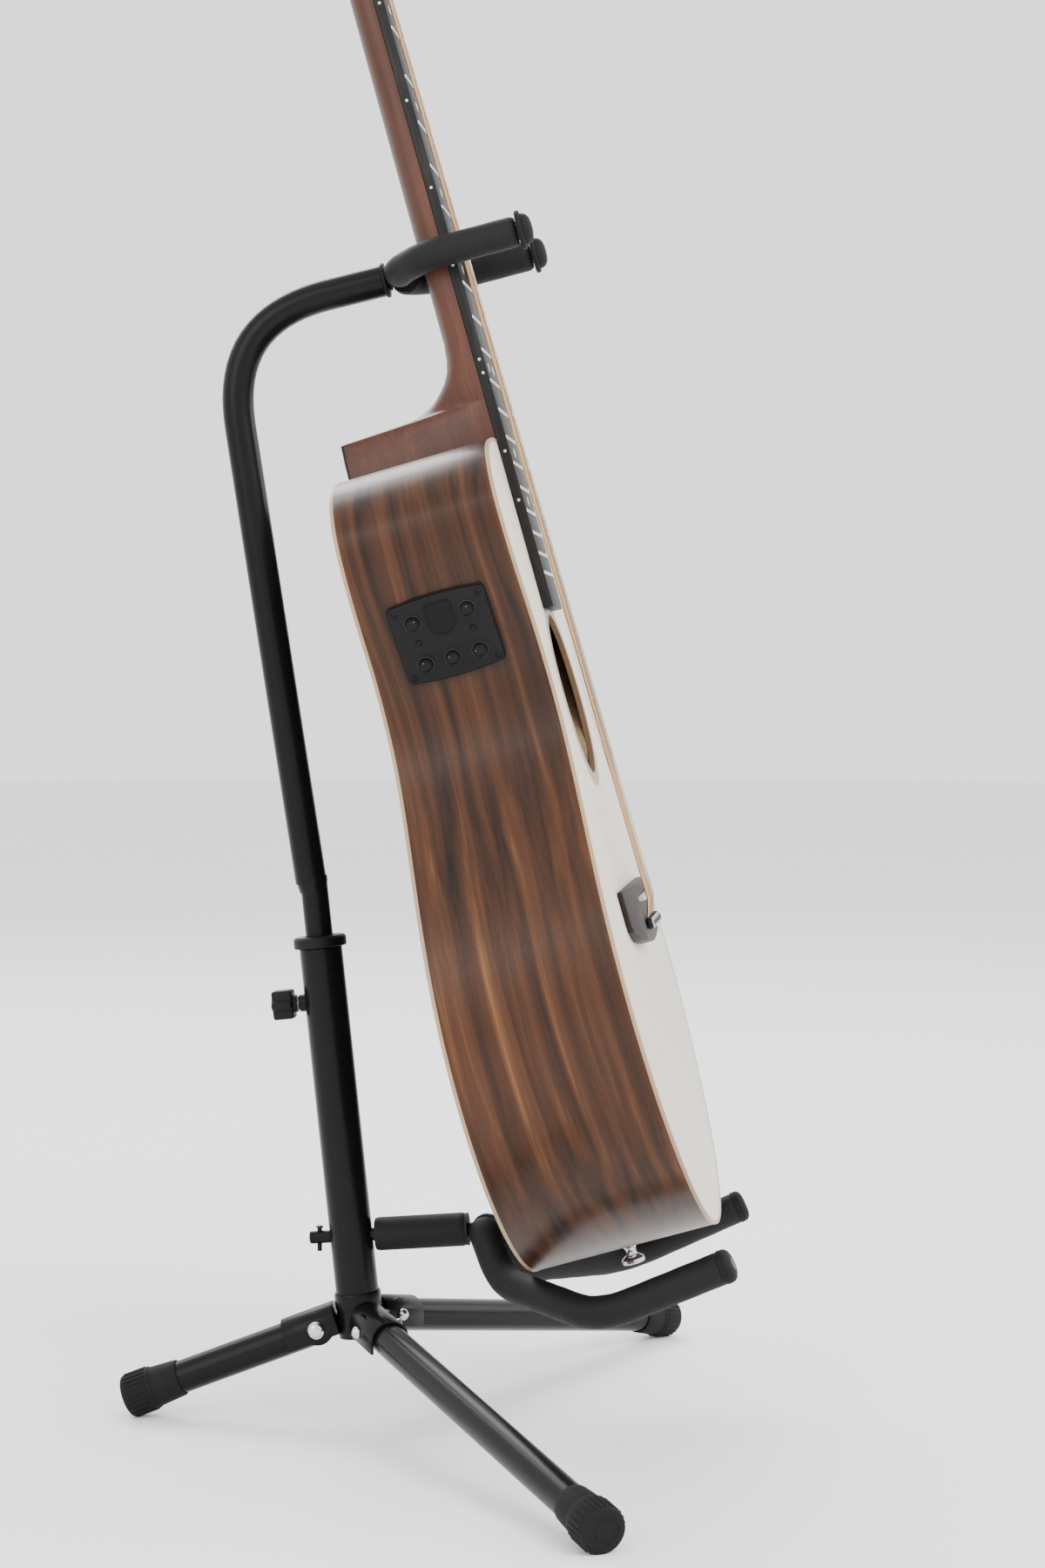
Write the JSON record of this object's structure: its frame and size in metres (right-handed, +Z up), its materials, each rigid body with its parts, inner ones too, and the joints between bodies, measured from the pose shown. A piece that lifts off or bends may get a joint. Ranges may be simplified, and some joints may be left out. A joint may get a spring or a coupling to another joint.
{
  "type": "acoustic guitar on a folding floor stand",
  "caption": "Electro-acoustic guitar resting in a tubular tripod floor stand with foam cradle arms and a neck yoke.",
  "frame": {"origin": "middle of the whole object's footprint box, on the floor", "axes": "+Z up; -Y is the way the guitar's soundboard faces; -X is the bass side, which carries the preamp"},
  "size_m": [0.5714, 0.3904, 1.1102],
  "materials": {
    "black_steel": "satin powder coat",
    "foam": "matte foam",
    "rubber": "matte",
    "black_plastic": "matte",
    "display": "gloss",
    "chrome": "polished",
    "steel": "plain",
    "spruce": "satin lacquer",
    "spruce_inside": "bare",
    "walnut": "satin lacquer",
    "mahogany": "satin lacquer",
    "dark_wood": "oiled",
    "bone": "polished bone",
    "string": "wound bronze"
  },
  "bodies": {
    "stand": {"mast_tube": "black_steel", "leg_hub": "black_steel", "pivot_bolt_rear": "chrome", "pivot_bolt_left": "chrome", "pivot_bolt_right": "chrome", "collar": "black_plastic", "cradle_rod": "black_steel", "cradle_pin": "steel", "cradle_spacer": "foam", "cradle_grip_left": "foam", "cradle_grip_right": "foam"},
    "leg_rear_body": {"leg_rear": "black_steel", "foot_rear": "rubber"},
    "leg_left_body": {"leg_left": "black_steel", "foot_left": "rubber"},
    "leg_right_body": {"leg_right": "black_steel", "foot_right": "rubber"},
    "height_clamp": {"clamp_knob": "black_plastic"},
    "upper_stand": {"upper_tube": "black_steel", "tube_bush": "black_plastic"},
    "yoke": {"yoke_rod": "black_steel", "yoke_grip_left": "foam", "yoke_grip_right": "foam", "yoke_cap_left": "rubber", "yoke_cap_right": "rubber"},
    "guitar": {"soundboard": "spruce", "back_plate": "walnut", "sides": "walnut", "neck_block": "spruce_inside", "tail_block": "spruce_inside", "top_brace": "spruce_inside", "preamp_case": "black_plastic", "preamp_window": "display", "neck": "mahogany", "fingerboard": "dark_wood", "nut": "bone", "bridge": "dark_wood", "saddle": "bone", "end_pin": "chrome", "string_1": "string", "string_2": "string", "string_3": "string", "string_4": "string", "string_5": "string", "string_6": "string", "tuner_plate_bass": "chrome", "tuner_plate_treble": "chrome"},
    "control_1_body": {"control_1": "black_plastic"},
    "control_2_body": {"control_2": "black_plastic"},
    "control_3_body": {"control_3": "black_plastic"},
    "control_4_body": {"control_4": "black_plastic"},
    "control_5_body": {"control_5": "black_plastic"},
    "push_button_1_body": {"push_button_1": "black_plastic"},
    "push_button_2_body": {"push_button_2": "black_plastic"},
    "tuner_1_body": {"tuner_button_1": "chrome"},
    "tuner_2_body": {"tuner_button_2": "chrome"},
    "tuner_3_body": {"tuner_button_3": "chrome"},
    "tuner_4_body": {"tuner_button_4": "chrome"},
    "tuner_5_body": {"tuner_button_5": "chrome"},
    "tuner_6_body": {"tuner_button_6": "chrome"}
  },
  "joints": [
    {"name": "leg_rear_fold", "type": "hinge", "parent": "stand", "child": "leg_rear_body", "pos_m": [0, 0.06906, 0.05856], "axis": [-1, 0, 0], "range_deg": [0, 66]},
    {"name": "leg_left_fold", "type": "hinge", "parent": "stand", "child": "leg_left_body", "pos_m": [-0.02229, 0.02989, 0.06271], "axis": [0.515, -0.8524, 0.0903], "range_deg": [0, 78]},
    {"name": "leg_right_fold", "type": "hinge", "parent": "stand", "child": "leg_right_body", "pos_m": [0.02229, 0.02989, 0.06271], "axis": [0.515, 0.8524, -0.0903], "range_deg": [0, 78]},
    {"name": "clamp_turn", "type": "hinge", "parent": "stand", "child": "height_clamp", "pos_m": [0, 0.0644, 0.2613], "axis": [0, 0.9944, -0.1054], "continuous": true},
    {"name": "height_slide", "type": "slide", "parent": "stand", "child": "upper_stand", "axis": [0, 0.1054, 0.9944], "range_m": [-0.026, 0.002]},
    {"name": "yoke_swivel", "type": "hinge", "parent": "upper_stand", "child": "yoke", "pos_m": [0, 0.0281, 0.70377], "axis": [0, -0.9703, 0.2419], "range_deg": [-2, 6]},
    {"name": "guitar_lift", "type": "slide", "parent": "stand", "child": "guitar", "axis": [0, 0, 1], "range_m": [0, 0.06]},
    {"name": "control_1_turn", "type": "hinge", "parent": "guitar", "child": "control_1_body", "pos_m": [-0.11777, -0.00646, 0.49084], "axis": [-0.946, -0.0885, -0.3118], "range_deg": [-140, 140]},
    {"name": "control_2_turn", "type": "hinge", "parent": "guitar", "child": "control_2_body", "pos_m": [-0.11777, -0.03802, 0.49979], "axis": [-0.946, -0.0885, -0.3118], "range_deg": [-140, 140]},
    {"name": "control_3_turn", "type": "hinge", "parent": "guitar", "child": "control_3_body", "pos_m": [-0.10944, -0.0131, 0.46744], "axis": [-0.946, -0.0885, -0.3118], "range_deg": [-140, 140]},
    {"name": "control_4_turn", "type": "hinge", "parent": "guitar", "child": "control_4_body", "pos_m": [-0.10944, -0.02888, 0.47192], "axis": [-0.946, -0.0885, -0.3118], "range_deg": [-140, 140]},
    {"name": "control_5_turn", "type": "hinge", "parent": "guitar", "child": "control_5_body", "pos_m": [-0.10944, -0.04465, 0.4764], "axis": [-0.946, -0.0885, -0.3118], "range_deg": [-140, 140]},
    {"name": "push_button_1_press", "type": "slide", "parent": "guitar", "child": "push_button_1_body", "axis": [0.946, 0.0885, 0.3118], "range_m": [0, 0.0007], "stiffness_N_per_m": 300, "springref_m": -0.001},
    {"name": "push_button_2_press", "type": "slide", "parent": "guitar", "child": "push_button_2_body", "axis": [0.946, 0.0885, 0.3118], "range_m": [0, 0.0007], "stiffness_N_per_m": 300, "springref_m": -0.001},
    {"name": "tuner_1_turn", "type": "hinge", "parent": "guitar", "child": "tuner_1_body", "pos_m": [0.04132, 0.09191, 0.97863], "axis": [1, 0, 0], "continuous": true},
    {"name": "tuner_2_turn", "type": "hinge", "parent": "guitar", "child": "tuner_2_body", "pos_m": [0.04132, 0.11181, 1.01333], "axis": [1, 0, 0], "continuous": true},
    {"name": "tuner_3_turn", "type": "hinge", "parent": "guitar", "child": "tuner_3_body", "pos_m": [0.04132, 0.13171, 1.04802], "axis": [1, 0, 0], "continuous": true},
    {"name": "tuner_4_turn", "type": "hinge", "parent": "guitar", "child": "tuner_4_body", "pos_m": [-0.04132, 0.13171, 1.04802], "axis": [1, 0, 0], "continuous": true},
    {"name": "tuner_5_turn", "type": "hinge", "parent": "guitar", "child": "tuner_5_body", "pos_m": [-0.04132, 0.11181, 1.01333], "axis": [1, 0, 0], "continuous": true},
    {"name": "tuner_6_turn", "type": "hinge", "parent": "guitar", "child": "tuner_6_body", "pos_m": [-0.04132, 0.09191, 0.97863], "axis": [1, 0, 0], "continuous": true}
  ]
}
